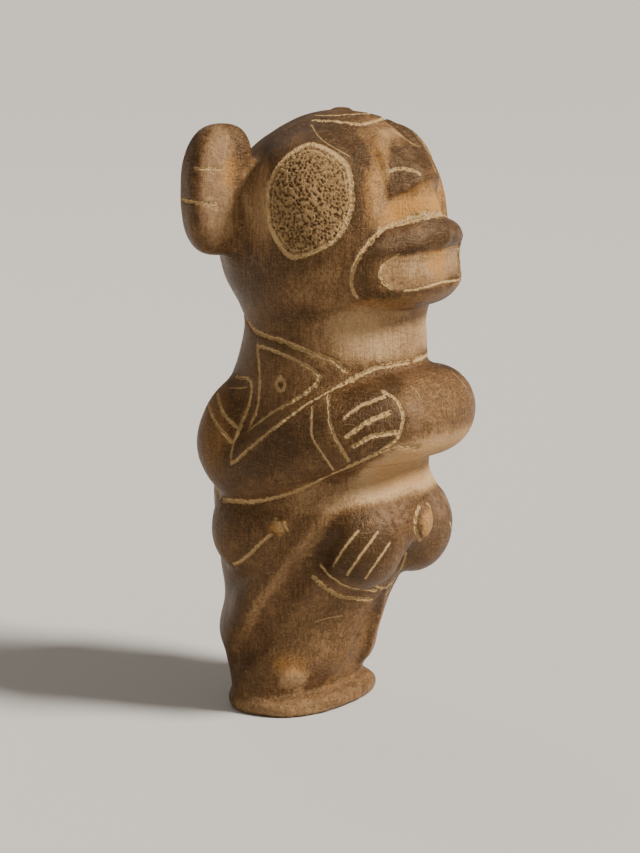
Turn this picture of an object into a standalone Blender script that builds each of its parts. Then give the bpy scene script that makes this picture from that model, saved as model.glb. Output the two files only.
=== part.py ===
"""A small stone zemi: a squatting figure with ringed eyes, carved from one piece."""

import math

import bmesh
import bpy
import numpy as np
from mathutils import Matrix

# The carving is set out in 119 equal shares of its height, so at this size one share is 1 mm.
FIGURE_HEIGHT = 0.119
SHARE = FIGURE_HEIGHT / 119
# How far behind the middle of the whole figure the axis of its head and neck lies.
HEAD_AXIS = 0.64

SKIN_STEP = 0.9
ROUGH_HALF = 5
SKIN_TRIANGLES = 9400
STONE_COLOUR = (0.115, 0.064, 0.034, 1.0)
STONE_ROUGHNESS = 0.42

# The trunk at rising heights: half width, half depth in front and behind, how far back its
# middle lies, and how boxy it is there.
TRUNK = [
    (-6, 16.4, 9.8, 9.8, 9.4, 2.2),
    (4, 16.9, 10.4, 10.2, 9.2, 2.1),
    (10, 18.0, 14.8, 13.6, 8.8, 1.8),
    (15, 18.4, 16.8, 15.6, 9.0, 1.75),
    (22, 18.4, 17.4, 16.4, 7.0, 1.75),
    (28, 18.2, 18.6, 19.2, 5.4, 1.85),
    (34, 18.2, 18.2, 20.8, 4.2, 2.0),
    (40, 18.8, 19.2, 22.4, 3.4, 2.0),
    (46, 19.6, 20.4, 23.0, 2.6, 2.0),
    (52, 20.0, 20.2, 23.8, 1.6, 2.0),
    (60, 20.2, 19.8, 23.4, 1.0, 2.0),
    (68, 19.4, 18.8, 19.4, 0.6, 2.0),
    (75, 18.3, 18.2, 17.5, 0.3, 2.0),
    (82, 17.6, 17.8, 17.2, 0.0, 2.0),
    (92, 17.4, 17.6, 17.0, 0.0, 2.0),
]
TRUNK_TOP = 92.0

# Each mass: the angle its middle stands at from the front, its reach and its height, then its
# half sizes outward, sideways and upward, how boxy its plan is and, if not alike, its rise.
SKULL = (0, 1.6, 98.0), (19.4, 20.2, 20.9), 2.2
FACE = (0, 0, 94.0), (26.5, 17.2, 23.6), 1.5, 2.0
CHIN_HEIGHT = 87.0
JAW = (180, 0.8, 92.5), (20.4, 20.6, 16.0), 2.4
NAPE = (180, 8.0, 98.0), (15.8, 16.0, 15.0), 2.1
EYE = (77, 12.1, 103.2), (10.9, 10.6, 12.8), 2.2
EAR = (122, 24.7, 104.7), (6.7, 4.8, 12.6), 3.4, 2.7
EAR_LEAN = 1.2
KNOB = (39, 15.0, 36.9), (8.5, 9.5, 9.8), 2.0
LAP = (0, 11.8, 41.0), (9.4, 10.0, 7.6), 2.2
BOSS = (0, 19.9, 40.0), (2.4, 2.8, 3.6), 2.0
FOOT = (180, 7.8, 1.6), (11.8, 17.3, 3.4), 2.5

# Each limb: angle, reach, height and radius at stations along it.
UPPER_LIP = [
    (0, 19.4, 94.6, 6.4),
    (12, 19.4, 94.5, 6.4),
    (24, 18.9, 93.4, 6.4),
    (36, 17.4, 91.4, 6.6),
]
LOWER_LIP = [
    (0, 19.2, 89.0, 6.6),
    (12, 19.2, 89.0, 6.6),
    (24, 18.8, 89.0, 6.5),
    (36, 17.4, 89.5, 6.4),
]
ARM = [
    (131, 13.0, 65.0, 4.6),
    (133, 17.0, 59.8, 7.9),
    (132, 18.4, 54.0, 9.2),
    (116, 17.7, 50.8, 8.2),
    (95, 17.6, 53.0, 7.8),
    (70, 17.7, 57.6, 8.1),
    (45, 19.0, 60.3, 8.3),
    (20, 19.4, 61.1, 8.6),
    (0, 19.1, 61.2, 8.6),
]
HIP = [
    (155, 12.6, 39.5, 10.4),
    (124, 14.2, 37.4, 10.9),
    (100, 12.0, 40.6, 9.8),
    (82, 10.4, 44.5, 9.0),
]
THIGH = [
    (140, 14.7, 16.0, 6.4),
    (118, 14.8, 22.0, 6.9),
    (98, 13.6, 28.5, 7.1),
    (80, 13.6, 35.5, 7.1),
    (62, 13.6, 41.5, 6.8),
    (44, 13.4, 44.5, 6.2),
    (26, 13.0, 45.5, 5.4),
]
VALLEY = [
    (130, 23.5, 9.0, 1.8),
    (109, 20.4, 15.6, 3.4),
    (89, 20.0, 23.2, 3.7),
    (79, 20.0, 28.7, 3.7),
    (66, 21.0, 34.8, 3.1),
    (57, 23.2, 40.0, 1.6),
]

MOUTH_HEIGHT = 90.9
MOUTH_HALF = 4.3
MOUTH_DEPTH = 1.2
BAND_ANGLE = 33.0
BAND_DEPTH = 1.1
NOSE_RISE = 1.1
LIP_HOLLOW = 0.5
CLEFT_DEPTH = 2.4
CLEFT_HALF = 4.2


def place(angle, reach, height):
    turn = math.radians(angle)
    return np.array([math.sin(turn) * reach, -math.cos(turn) * reach, height])


def curve_through(stations, steps):
    rows = np.array(stations, float)
    padded = np.vstack([2 * rows[0] - rows[1], rows, 2 * rows[-1] - rows[-2]])
    share = np.linspace(0, 1, steps, endpoint=False)[:, None]
    pieces = []
    for before, start, end, after in zip(padded, padded[1:], padded[2:], padded[3:]):
        pieces.append(
            start
            + (end - before) * share / 2
            + (2 * before - 5 * start + 4 * end - after) * share**2 / 2
            + (3 * start - before - 3 * end + after) * share**3 / 2
        )
    return np.vstack([*pieces, rows[-1:]])


def fade(value, start, end):
    share = np.clip((value - start) / (end - start), 0, 1)
    return share * share * (3 - 2 * share)


def join(one, other, blend):
    overlap = np.clip(1 - np.abs(one - other) / blend, 0, 1)
    return np.minimum(one, other) - overlap**2 * blend / 4


def cut(form, tool, blend):
    return -join(-form, tool, blend)


def mass(points, middle, halves, plan_power, rise_power=None, lean=0.0):
    offset = points - place(*middle)
    outward, sideways = place(middle[0], 1, 0), place(middle[0] + 90, 1, 0)
    local = np.stack([offset @ outward, offset @ sideways, offset[:, 2]], axis=1)
    local[:, 0] += lean * (np.maximum(local[:, 2], 0) / halves[2]) ** 2
    scaled = np.abs(local) / np.array(halves)
    rise_power = rise_power or plan_power
    plan = np.maximum(np.sum(scaled[:, :2] ** plan_power, axis=1), 1e-9) ** (1 / plan_power)
    return ((plan**rise_power + scaled[:, 2] ** rise_power) ** (1 / rise_power) - 1) * min(halves)


def limb(points, stations, margin=4.0):
    rows = np.array([[*place(*station[:3]), station[3]] for station in stations])
    rows = curve_through(rows, steps=8)
    low = (rows[:, :3] - rows[:, 3:]).min(axis=0) - margin
    high = (rows[:, :3] + rows[:, 3:]).max(axis=0) + margin
    beyond = np.linalg.norm(np.maximum(np.maximum(low - points, points - high), 0), axis=1)
    distance = beyond + margin
    near = np.flatnonzero(beyond == 0)
    nearest = np.full(len(near), 1e9)
    for start, end in zip(rows, rows[1:]):
        run = end[:3] - start[:3]
        offset = points[near] - start[:3]
        share = np.clip(offset @ run / (run @ run), 0, 1)
        away = np.linalg.norm(offset - share[:, None] * run, axis=1)
        nearest = np.minimum(nearest, away - start[3] - share * (end[3] - start[3]))
    distance[near] = nearest
    return distance


def trunk(points):
    rows = curve_through(TRUNK, steps=10)
    height = np.clip(points[:, 2], rows[0, 0], rows[-1, 0])
    sizes = [np.interp(height, rows[:, 0], rows[:, column]) for column in range(1, 6)]
    wide, front, back, middle, power = sizes
    deep = np.where(points[:, 1] < middle, front, back)
    scaled = np.maximum(points[:, 0] / wide, 1e-6) ** power
    scaled = scaled + np.maximum(np.abs(points[:, 1] - middle) / deep, 1e-6) ** power
    side = (scaled ** (1 / power) - 1) * np.minimum(wide, deep)
    return cut(side, TRUNK_TOP - points[:, 2], 4.0)


def head(points):
    form = join(mass(points, *SKULL), mass(points, *JAW), 3.0)
    form = join(form, mass(points, *NAPE), 4.0)
    form = join(form, cut(mass(points, *FACE), points[:, 2] - CHIN_HEIGHT, 3.0), 2.0)
    form = join(form, mass(points, *EYE), 1.2)
    form = join(form, mass(points, *EAR, EAR_LEAN), 2.0)
    return join(form, join(limb(points, UPPER_LIP), limb(points, LOWER_LIP), 1.0), 0.6)


def leg(points):
    form = join(limb(points, HIP), limb(points, THIGH), 0.8)
    return join(form, mass(points, *KNOB), 1.5)


def dents(points):
    """How far the hollows of the face and the cleft between the legs sink in."""
    angle = np.degrees(np.arctan2(points[:, 0], -points[:, 1]))
    height = points[:, 2]
    across = np.hypot(np.maximum(angle - 22, 0) / 13, (height - MOUTH_HEIGHT) / MOUTH_HALF)
    mouth = MOUTH_DEPTH * (1 - fade(across, 0.68, 1.0))
    # The face is a flatter band between the mounds of the eyes, and widens towards the crown.
    edge = BAND_ANGLE + 22 * np.clip((height - 103) / 16, 0, 1) ** 2.2
    band = (1 - fade(angle, edge - 1.2, edge + 1.0)) * fade(height, 97, 100)
    band = BAND_DEPTH * band * (1 - fade(height, 114, 119)) * (0.3 + 0.7 * fade(angle, 8, 26))
    # Two wings that meet at the middle of the band make the nose.
    top = 108.5 + 5.5 * np.sqrt(angle / 25)
    base = 107.6 - 0.15 * angle
    wing = fade(height, base - 0.6, base + 1) * (1 - fade(height, top - 1.6, top + 0.3))
    wing = NOSE_RISE * wing * (1 - 0.35 * fade(angle, 12, 24)) * (1 - fade(angle, 24.0, 25.6))
    lip = LIP_HOLLOW * fade(height, 98, 101) * (1 - fade(height, base - 2, base)) * (1 - fade(angle, 20, 30))
    # A channel parts the legs, and closes below the knees.
    half = CLEFT_HALF * (1 - 0.85 * fade(height, 18, 26))
    cleft = CLEFT_DEPTH * np.clip(1 - (points[:, 0] / half) ** 2, 0, 1) ** 0.7
    cleft = cleft * half / CLEFT_HALF * fade(height, 5, 10) * (1 - fade(height, 25, 29))
    return (mouth + band - wing + lip + cleft) * (1 - fade(angle, 50, 70))


def zemi(points):
    """How far each point lies outside the carving. Both sides of the figure are alike."""
    half = np.array(points)
    half[:, 0] = np.abs(half[:, 0])
    form = join(trunk(half), head(half), 3.5)
    form = join(form, limb(half, ARM), 1.5)
    form = join(form, leg(half), 1.5)
    form = cut(form, limb(half, VALLEY), 1.5)
    form = form + dents(half)
    form = join(form, mass(half, *LAP), 3.0)
    form = join(form, mass(half, *BOSS), 0.8)
    form = join(form, mass(half, *FOOT), 0.6)
    return cut(form, points[:, 2], 0.3)


def outward_at(points, step=0.04):
    corners = np.array([[1, -1, -1], [-1, -1, 1], [-1, 1, -1], [1, 1, 1]], float)
    rise = sum(corner * zemi(points + corner * step)[:, None] for corner in corners)
    return rise / np.maximum(np.linalg.norm(rise, axis=1, keepdims=True), 1e-9)


def settle(points, ends, rounds, evening):
    """Draws points onto the carving. Evening slides them along it towards their neighbours."""
    count = np.bincount(ends.ravel(), minlength=len(points))[:, None]
    for _ in range(rounds):
        outward = outward_at(points)
        points = points - outward * np.clip(zemi(points), -2, 2)[:, None] * 0.9
        total = np.zeros_like(points)
        for axis in range(3):
            total[:, axis] += np.bincount(ends[:, 0], points[ends[:, 1], axis], len(points))
            total[:, axis] += np.bincount(ends[:, 1], points[ends[:, 0], axis], len(points))
        drift = total / count - points
        drift -= outward * np.sum(drift * outward, axis=1, keepdims=True)
        points = points + evening * drift
    return points


def rough_out():
    """Balls that fill the carving, for its skin to start from."""
    masses = [group[:2] for group in (SKULL, FACE, JAW, NAPE, EYE, EAR, KNOB, LAP, BOSS, FOOT)]
    for height, wide, front, back, middle, _ in curve_through(TRUNK, steps=2):
        if height > ROUGH_HALF:
            halves = ((front + back) / 2, wide, ROUGH_HALF)
            masses.append(((180, middle + (back - front) / 2, height), halves))
    for stations in (UPPER_LIP, LOWER_LIP, ARM, HIP, THIGH):
        for angle, reach, height, radius in curve_through(stations, steps=4):
            masses.append(((angle, reach, height), (radius, radius, radius)))
    mesh = bmesh.new()
    for (angle, reach, height), halves in masses:
        for facing in (angle, -angle):
            spot = Matrix.Translation(place(facing, reach, height))
            spot = spot @ Matrix.Rotation(math.radians(facing - 90), 4, "Z")
            spot = spot @ Matrix.Diagonal((*halves, 1))
            bmesh.ops.create_icosphere(mesh, subdivisions=3, radius=1.0, matrix=spot)
    data = bpy.data.meshes.new("Rough")
    mesh.to_mesh(data)
    mesh.free()
    return bpy.data.objects.new("Rough", data)


def skin_of(rough):
    """One closed skin round the balls, settled onto the carving."""
    rough.modifiers.new("Skin", "REMESH").voxel_size = SKIN_STEP
    bpy.context.scene.collection.objects.link(rough)
    data = bpy.data.meshes.new_from_object(rough.evaluated_get(bpy.context.evaluated_depsgraph_get()))
    bpy.data.objects.remove(rough)
    points = np.array([vertex.co for vertex in data.vertices])
    ends = np.array([edge.vertices[:] for edge in data.edges])
    points = settle(points, ends, 12, 0.5)
    points = settle(points, ends, 4, 0.1)
    points = settle(points, ends, 3, 0.0)
    points[np.abs(points[:, 2]) < 0.06, 2] = 0
    points[:, 1] += HEAD_AXIS
    for vertex, point in zip(data.vertices, points * SHARE):
        vertex.co = point
    return data


def make_stone():
    stone = bpy.data.materials.new("Stone")
    stone.use_nodes = True
    surface = stone.node_tree.nodes["Principled BSDF"]
    surface.inputs["Base Color"].default_value = STONE_COLOUR
    surface.inputs["Roughness"].default_value = STONE_ROUGHNESS
    return stone


def make_zemi():
    data = skin_of(rough_out())
    data.name = "zemi"
    mesh = bmesh.new()
    mesh.from_mesh(data)
    bmesh.ops.triangulate(mesh, faces=mesh.faces[:])
    mesh.to_mesh(data)
    mesh.free()
    data.materials.append(make_stone())
    made = bpy.data.objects.new("zemi", data)
    thinner = made.modifiers.new("Thin out", "DECIMATE")
    thinner.ratio = SKIN_TRIANGLES / len(data.polygons)
    return made


def main():
    for old in list(bpy.data.objects):
        bpy.data.objects.remove(old)
    collection = bpy.data.collections.new("Zemi")
    bpy.context.scene.collection.children.link(collection)
    collection.objects.link(make_zemi())


main()
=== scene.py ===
"""Looks of the stone zemi: its incised and pecked carving, and its worn brown patina."""

import math

import bmesh
import bpy
import numpy as np
from mathutils import Matrix, Vector, kdtree, noise
from mathutils.bvhtree import BVHTree


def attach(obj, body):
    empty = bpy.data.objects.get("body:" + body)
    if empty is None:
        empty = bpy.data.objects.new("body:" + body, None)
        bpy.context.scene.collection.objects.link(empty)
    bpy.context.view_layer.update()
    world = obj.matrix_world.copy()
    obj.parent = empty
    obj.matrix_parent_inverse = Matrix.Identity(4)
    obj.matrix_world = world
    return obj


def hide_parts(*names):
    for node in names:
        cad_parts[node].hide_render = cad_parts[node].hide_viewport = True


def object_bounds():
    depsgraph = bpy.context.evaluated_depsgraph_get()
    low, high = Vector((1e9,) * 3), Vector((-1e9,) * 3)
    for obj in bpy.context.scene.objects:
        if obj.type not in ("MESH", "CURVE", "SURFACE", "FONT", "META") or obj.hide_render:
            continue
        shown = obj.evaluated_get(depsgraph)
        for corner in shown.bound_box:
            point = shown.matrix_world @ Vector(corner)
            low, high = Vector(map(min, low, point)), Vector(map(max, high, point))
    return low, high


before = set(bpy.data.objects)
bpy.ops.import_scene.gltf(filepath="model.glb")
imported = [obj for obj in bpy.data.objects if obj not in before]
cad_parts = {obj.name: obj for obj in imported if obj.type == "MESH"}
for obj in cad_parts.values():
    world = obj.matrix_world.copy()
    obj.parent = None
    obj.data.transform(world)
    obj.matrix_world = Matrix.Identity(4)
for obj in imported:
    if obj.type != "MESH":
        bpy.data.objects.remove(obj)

CAD_BOX = [list(corner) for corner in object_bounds()]

# The carving is set out in 119 equal shares of its height, which is 119 mm.
SHARE = (CAD_BOX[1][2] - CAD_BOX[0][2]) / 119
# How far behind the middle of the whole figure the axis of its head and neck lies.
HEAD_AXIS = 0.64

# The photograph's camera, in shares and in pixels of its frame.
AZIMUTH = math.radians(-55)
ELEVATION = math.radians(11.5)
CAMERA_DISTANCE = 600.0
FOCAL_LENGTH = 3036.0
FRAME_WIDTH, FRAME_HEIGHT = 640, 853
AIM_SIDEWAYS = -2.96
AIM_HEIGHT = 56.5
# Its film's height in millimetres, and how near and how far it sees in metres.
FILM_HEIGHT = 36
NEAR_CLIP, FAR_CLIP = 0.01, 20

# The skin's mesh: its step, then how near a cut it is halved once and twice.
SKIN_STEP = 0.82
NEAR_CUT, AT_CUT = 0.95, 0.42
# The eyes are halved twice too, up to this many pixels outside their ring.
BEYOND_RING = 3
# How far back and how low the eyes' finer mesh and their pecking may reach.
MESHED_ZONE, PECKED_ZONE = (4, 88), (6, 85)

# The trunk at rising heights: half width, half depth in front and behind, how far back its
# middle lies, and how boxy it is there.
TRUNK = [
    (-6, 16.4, 9.8, 9.8, 9.4, 2.2),
    (4, 16.9, 10.4, 10.2, 9.2, 2.1),
    (10, 18.0, 14.8, 13.6, 8.8, 1.8),
    (15, 18.4, 16.8, 15.6, 9.0, 1.75),
    (22, 18.4, 17.4, 16.4, 7.0, 1.75),
    (28, 18.2, 18.6, 19.2, 5.4, 1.85),
    (34, 18.2, 18.2, 20.8, 4.2, 2.0),
    (40, 18.8, 19.2, 22.4, 3.4, 2.0),
    (46, 19.6, 20.4, 23.0, 2.6, 2.0),
    (52, 20.0, 20.2, 23.8, 1.6, 2.0),
    (60, 20.2, 19.8, 23.4, 1.0, 2.0),
    (68, 19.4, 18.8, 19.4, 0.6, 2.0),
    (75, 18.3, 18.2, 17.5, 0.3, 2.0),
    (82, 17.6, 17.8, 17.2, 0.0, 2.0),
    (92, 17.4, 17.6, 17.0, 0.0, 2.0),
]
TRUNK_TOP = 92.0

# Each mass: the angle its middle stands at from the front, its reach and its height, then its
# half sizes outward, sideways and upward, how boxy its plan is and, if not alike, its rise.
SKULL = (0, 1.6, 98.0), (19.4, 20.2, 20.9), 2.2
FACE = (0, 0, 94.0), (26.5, 17.2, 23.6), 1.5, 2.0
CHIN_HEIGHT = 87.0
JAW = (180, 0.8, 92.5), (20.4, 20.6, 16.0), 2.4
NAPE = (180, 8.0, 98.0), (15.8, 16.0, 15.0), 2.1
EYE = (77, 12.1, 103.2), (10.9, 10.6, 12.8), 2.2
EAR = (122, 24.7, 104.7), (6.7, 4.8, 12.6), 3.4, 2.7
# How far the ear's top leans in towards the head.
EAR_LEAN = 1.2
KNOB = (39, 15.0, 36.9), (8.5, 9.5, 9.8), 2.0
LAP = (0, 11.8, 41.0), (9.4, 10.0, 7.6), 2.2
BOSS = (0, 19.9, 40.0), (2.4, 2.8, 3.6), 2.0
FOOT = (180, 7.8, 1.6), (11.8, 17.3, 3.4), 2.5

# Each limb: angle, reach, height and radius at stations along it.
UPPER_LIP = [
    (0, 19.4, 94.6, 6.4),
    (12, 19.4, 94.5, 6.4),
    (24, 18.9, 93.4, 6.4),
    (36, 17.4, 91.4, 6.6),
]
LOWER_LIP = [
    (0, 19.2, 89.0, 6.6),
    (12, 19.2, 89.0, 6.6),
    (24, 18.8, 89.0, 6.5),
    (36, 17.4, 89.5, 6.4),
]
ARM = [
    (131, 13.0, 65.0, 4.6),
    (133, 17.0, 59.8, 7.9),
    (132, 18.4, 54.0, 9.2),
    (116, 17.7, 50.8, 8.2),
    (95, 17.6, 53.0, 7.8),
    (70, 17.7, 57.6, 8.1),
    (45, 19.0, 60.3, 8.3),
    (20, 19.4, 61.1, 8.6),
    (0, 19.1, 61.2, 8.6),
]
HIP = [
    (155, 12.6, 39.5, 10.4),
    (124, 14.2, 37.4, 10.9),
    (100, 12.0, 40.6, 9.8),
    (82, 10.4, 44.5, 9.0),
]
THIGH = [
    (140, 14.7, 16.0, 6.4),
    (118, 14.8, 22.0, 6.9),
    (98, 13.6, 28.5, 7.1),
    (80, 13.6, 35.5, 7.1),
    (62, 13.6, 41.5, 6.8),
    (44, 13.4, 44.5, 6.2),
    (26, 13.0, 45.5, 5.4),
]
VALLEY = [
    (130, 23.5, 9.0, 1.8),
    (109, 20.4, 15.6, 3.4),
    (89, 20.0, 23.2, 3.7),
    (79, 20.0, 28.7, 3.7),
    (66, 21.0, 34.8, 3.1),
    (57, 23.2, 40.0, 1.6),
]

# The dents of the face and between the legs. Heights, half widths and depths are in shares and
# angles in degrees from the front. A pair says where something starts and ends to fade.
MOUTH_HEIGHT = 90.9
MOUTH_HALF = 4.3
MOUTH_DEPTH = 1.2
MOUTH_STRAIGHT, MOUTH_END = 22, 13
MOUTH_WALL = (0.68, 1.0)
BAND_ANGLE = 33.0
BAND_DEPTH = 1.1
BAND_WIDENS, BAND_WIDENS_FROM, BAND_WIDENS_OVER, BAND_CURVE = 22, 103, 16, 2.2
BAND_FOOT, BAND_TOP, BAND_SLOPE = (97, 100), (114, 119), (8, 26)
BAND_LEAST = 0.3
NOSE_RISE = 1.1
NOSE_TOP, NOSE_ARCH, NOSE_REACH = 108.5, 5.5, 25
NOSE_BASE, NOSE_FALL = 107.6, 0.15
NOSE_THINS, NOSE_THINNING, NOSE_ENDS = (12, 24), 0.35, (24.0, 25.6)
LIP_HOLLOW = 0.5
LIP_FOOT, LIP_ENDS = (98, 101), (20, 30)
CLEFT_DEPTH = 2.4
CLEFT_HALF = 4.2
CLEFT_NARROWS, CLEFT_NARROWING = (18, 26), 0.85
CLEFT_FOOT, CLEFT_TOP, CLEFT_CURVE = (5, 10), (25, 29), 0.7
DENTS_END = (50, 70)

# The stone's colours: pores, patina, stains, a rosy grey that is partly worn stone and partly
# painted highlight, pecked eyes, bare stone and cuts.
PORE_BROWN = (0.019, 0.0085, 0.0025, 1)
DEEP_BROWN = (0.053, 0.0240, 0.0080, 1)
BROWN = (0.112, 0.054, 0.0200, 1)
TAN = (0.222, 0.122, 0.0520, 1)
WORN_PALE = (0.358, 0.220, 0.108, 1)
# Rosy grey: painted highlight on lit faces, and rosy worn stone elsewhere.
ROSE_GREY_WEAR_AND_HIGHLIGHT = (0.205, 0.116, 0.064, 1)
OCHRE = (0.450, 0.210, 0.050, 1)
EYE_TAN = (0.430, 0.268, 0.122, 1)
EYE_PIT_DARK = (0.066, 0.031, 0.0110, 1)
BARE_STONE = (0.500, 0.320, 0.160, 1)
CUT_GOLD = (0.580, 0.360, 0.145, 1)
CUT_PALE = (0.740, 0.520, 0.270, 1)

# The colours of the setting.
FLOOR_COLOUR = (0.62, 0.60, 0.57, 1)
WORLD_COLOUR = (0.66, 0.60, 0.52, 1)
LAMP_COLOUR = (1.0, 0.96, 0.9)

# Each kind of cut: its half width and depth in shares.
HAIR, FINE, LINE, BROAD = (0.03, 0.03), (0.15, 0.12), (0.26, 0.30), (0.36, 0.38)
RING_CUT, INNER_RING_CUT = (0.36, 0.28), (0.02, 0.05)
# How close-set the points are that a cut is followed by.
CUT_SPACING = 0.12
# Incised lines on the figure's right side: the kind of cut, then the pixels of the photograph that
# it runs through. The left side mirrors them.
EYE_RING = [
    (267, 206), (269, 184), (281, 162), (297, 149), (312, 144), (334, 153), (348, 168),
    (352, 193), (351, 210), (341, 233), (325, 246), (308, 254), (291, 257), (281, 248), (270, 228),
]
EYE_MIDDLE = (309, 201)
# A second ring lies at this share of the way out to the first.
INNER_RING = 0.89
LINES = {
    "ear upper": (LINE, [(195, 168), (205, 169), (215, 169), (225, 169)]),
    "ear lower": (LINE, [(179, 199), (191, 202), (207, 203), (217, 205)]),
    "brow scratch": (HAIR, [(311, 125), (318, 136), (328, 144), (340, 151), (350, 157)]),
    "nostril": (LINE, [(390, 171), (400, 168.5), (411, 170), (421, 174)]),
    "muzzle border": (BROAD, [(445, 215), (422, 214), (399, 222), (381, 231), (365, 248), (354, 267),
                              (351, 286), (357, 299)]),
    "mouth end": (LINE, [(398, 255), (385, 264), (380, 272), (383, 282), (392, 289)]),
    "mouth foot": (FINE, [(404, 291), (420, 289), (442, 282)]),
    "collar": (BROAD, [(245.5, 319), (257, 332), (282, 341), (312, 353), (332, 360), (347, 372)]),
    "over the arm": (BROAD, [(409, 362), (394, 365), (377.5, 368), (358, 376), (343, 384), (324, 394),
                             (305, 405), (282, 422), (263, 437), (231, 464)]),
    "triangle top": (LINE, [(257, 345.5), (272, 350), (297, 361), (312, 369), (320, 378)]),
    "triangle foot": (BROAD, [(320, 378), (312, 388), (293, 401), (270, 414), (249, 430)]),
    "triangle side": (LINE, [(257, 345.5), (259, 366), (259, 386), (257, 409), (249, 428)]),
    "dot": (LINE, [(280, 377), (284, 383), (283, 390), (278, 390), (276, 383), (280, 377)]),
    "shoulder": (LINE, [(231, 464), (231, 453), (238, 432), (247, 409), (251, 393), (249, 380),
                        (235, 377)]),
    "shoulder mark": (HAIR, [(230, 388), (240, 388), (247, 387)]),
    "armlet upper": (LINE, [(217, 394), (222.5, 412), (237, 428)]),
    "armlet lower": (LINE, [(208, 405), (215, 422), (232, 442)]),
    "wrist inner": (LINE, [(328, 395), (330, 422), (337, 441), (349, 462)]),
    "wrist outer": (FINE, [(312, 407), (312, 435), (322, 453), (333.5, 470)]),
    "finger one": (LINE, [(345, 418), (353, 411), (362, 405), (373, 401), (385, 396)]),
    "finger two": (BROAD, [(347, 437), (357, 429), (368, 422), (391, 412)]),
    "finger three": (BROAD, [(354.5, 447), (363, 442), (372, 437), (397, 432)]),
    "knuckles": (LINE, [(383, 391), (397, 401), (403, 416), (401, 428), (396, 440), (381, 451)]),
    "front arc": (HAIR, [(410, 386), (417, 392), (421.5, 401)]),
    "under the arm": (BROAD, [(418, 447), (408, 446), (398, 446), (381, 452), (354, 465), (324, 478),
                              (297, 491), (272, 498.5), (249, 502), (222, 500)]),
    "buttock": (LINE, [(233, 565), (244, 559), (261, 543), (272, 534)]),
    "hip tick one": (LINE, [(275.5, 519), (277, 524), (278.5, 529)]),
    "hip tick two": (LINE, [(280, 522), (281, 528), (283, 534)]),
    "hip tick three": (FINE, [(285, 522), (286.5, 527), (288.5, 532)]),
    "toe one": (FINE, [(358, 531), (345, 547), (333, 566)]),
    "toe two": (FINE, [(377.5, 532.5), (363, 552), (347, 575)]),
    "toe three": (FINE, [(390, 543), (377.5, 561), (365, 579)]),
    "toe four": (FINE, [(406, 553), (402, 567), (392, 582.5), (381, 590)]),
    "anklet upper": (LINE, [(321, 565.5), (331, 577), (351, 588), (377, 590.5)]),
    "anklet lower": (BROAD, [(313, 577), (326, 588), (342, 597), (372, 599.5)]),
    "shin scratch": (HAIR, [(315, 622), (328, 618), (342, 616)]),
    "boss ring": (LINE, [(419, 507), (416, 515), (415.5, 526), (418, 537), (421, 541)]),
}
# Lines that the left side doesn't repeat.
LONE_LINES = {
    "crown front": (BROAD, [(313, 120), (336, 121), (354, 123.5), (363, 123.5), (375, 121), (386, 117)]),
    "crown back": (LINE, [(315, 115), (336, 115), (359, 113.5), (375, 113.5), (386, 116)]),
}
# Lines behind the head and across the back, on both sides: angle from the front and height.
BACK_LINES = {
    "nape": (LINE, [(133, 79.6), (146, 79.0), (160, 76.5), (172, 73.5), (180, 72)]),
    "waist": (LINE, [(132, 43.2), (150, 43.6), (166, 44.4), (180, 44.8)]),
    "ear behind upper": (LINE, [(128, 109), (133, 109), (138, 108.6)]),
    "ear behind lower": (LINE, [(128, 103), (133, 103), (138, 102.6)]),
}
# Drilled or pecked pits: pixel, then radius and depth in shares.
PITS = [
    (206, 135, 0.5, 0.5), (214, 180, 0.35, 0.3), (220, 206, 0.35, 0.3), (280, 384, 0.45, 0.6),
    (238, 399, 0.4, 0.3), (227, 391, 0.4, 0.25), (266, 414, 0.35, 0.3), (231, 458, 0.4, 0.4),
    (425, 541, 0.7, 0.6), (421, 548, 0.5, 0.5), (355, 445, 0.35, 0.4), (399, 137, 0.4, 0.4),
    (284, 271, 0.3, 0.25), (246, 284, 0.3, 0.25), (268, 160, 0.3, 0.2), (310, 320, 0.3, 0.2),
]
# Low swellings: middle and half sizes of their oval in pixels, and rise in shares.
SWELLINGS = [
    ((294, 677), (11, 8), 0.5),
    ((281, 525), (8, 6), 0.4),
    ((426, 524), (7, 17), 0.25),
]
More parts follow.
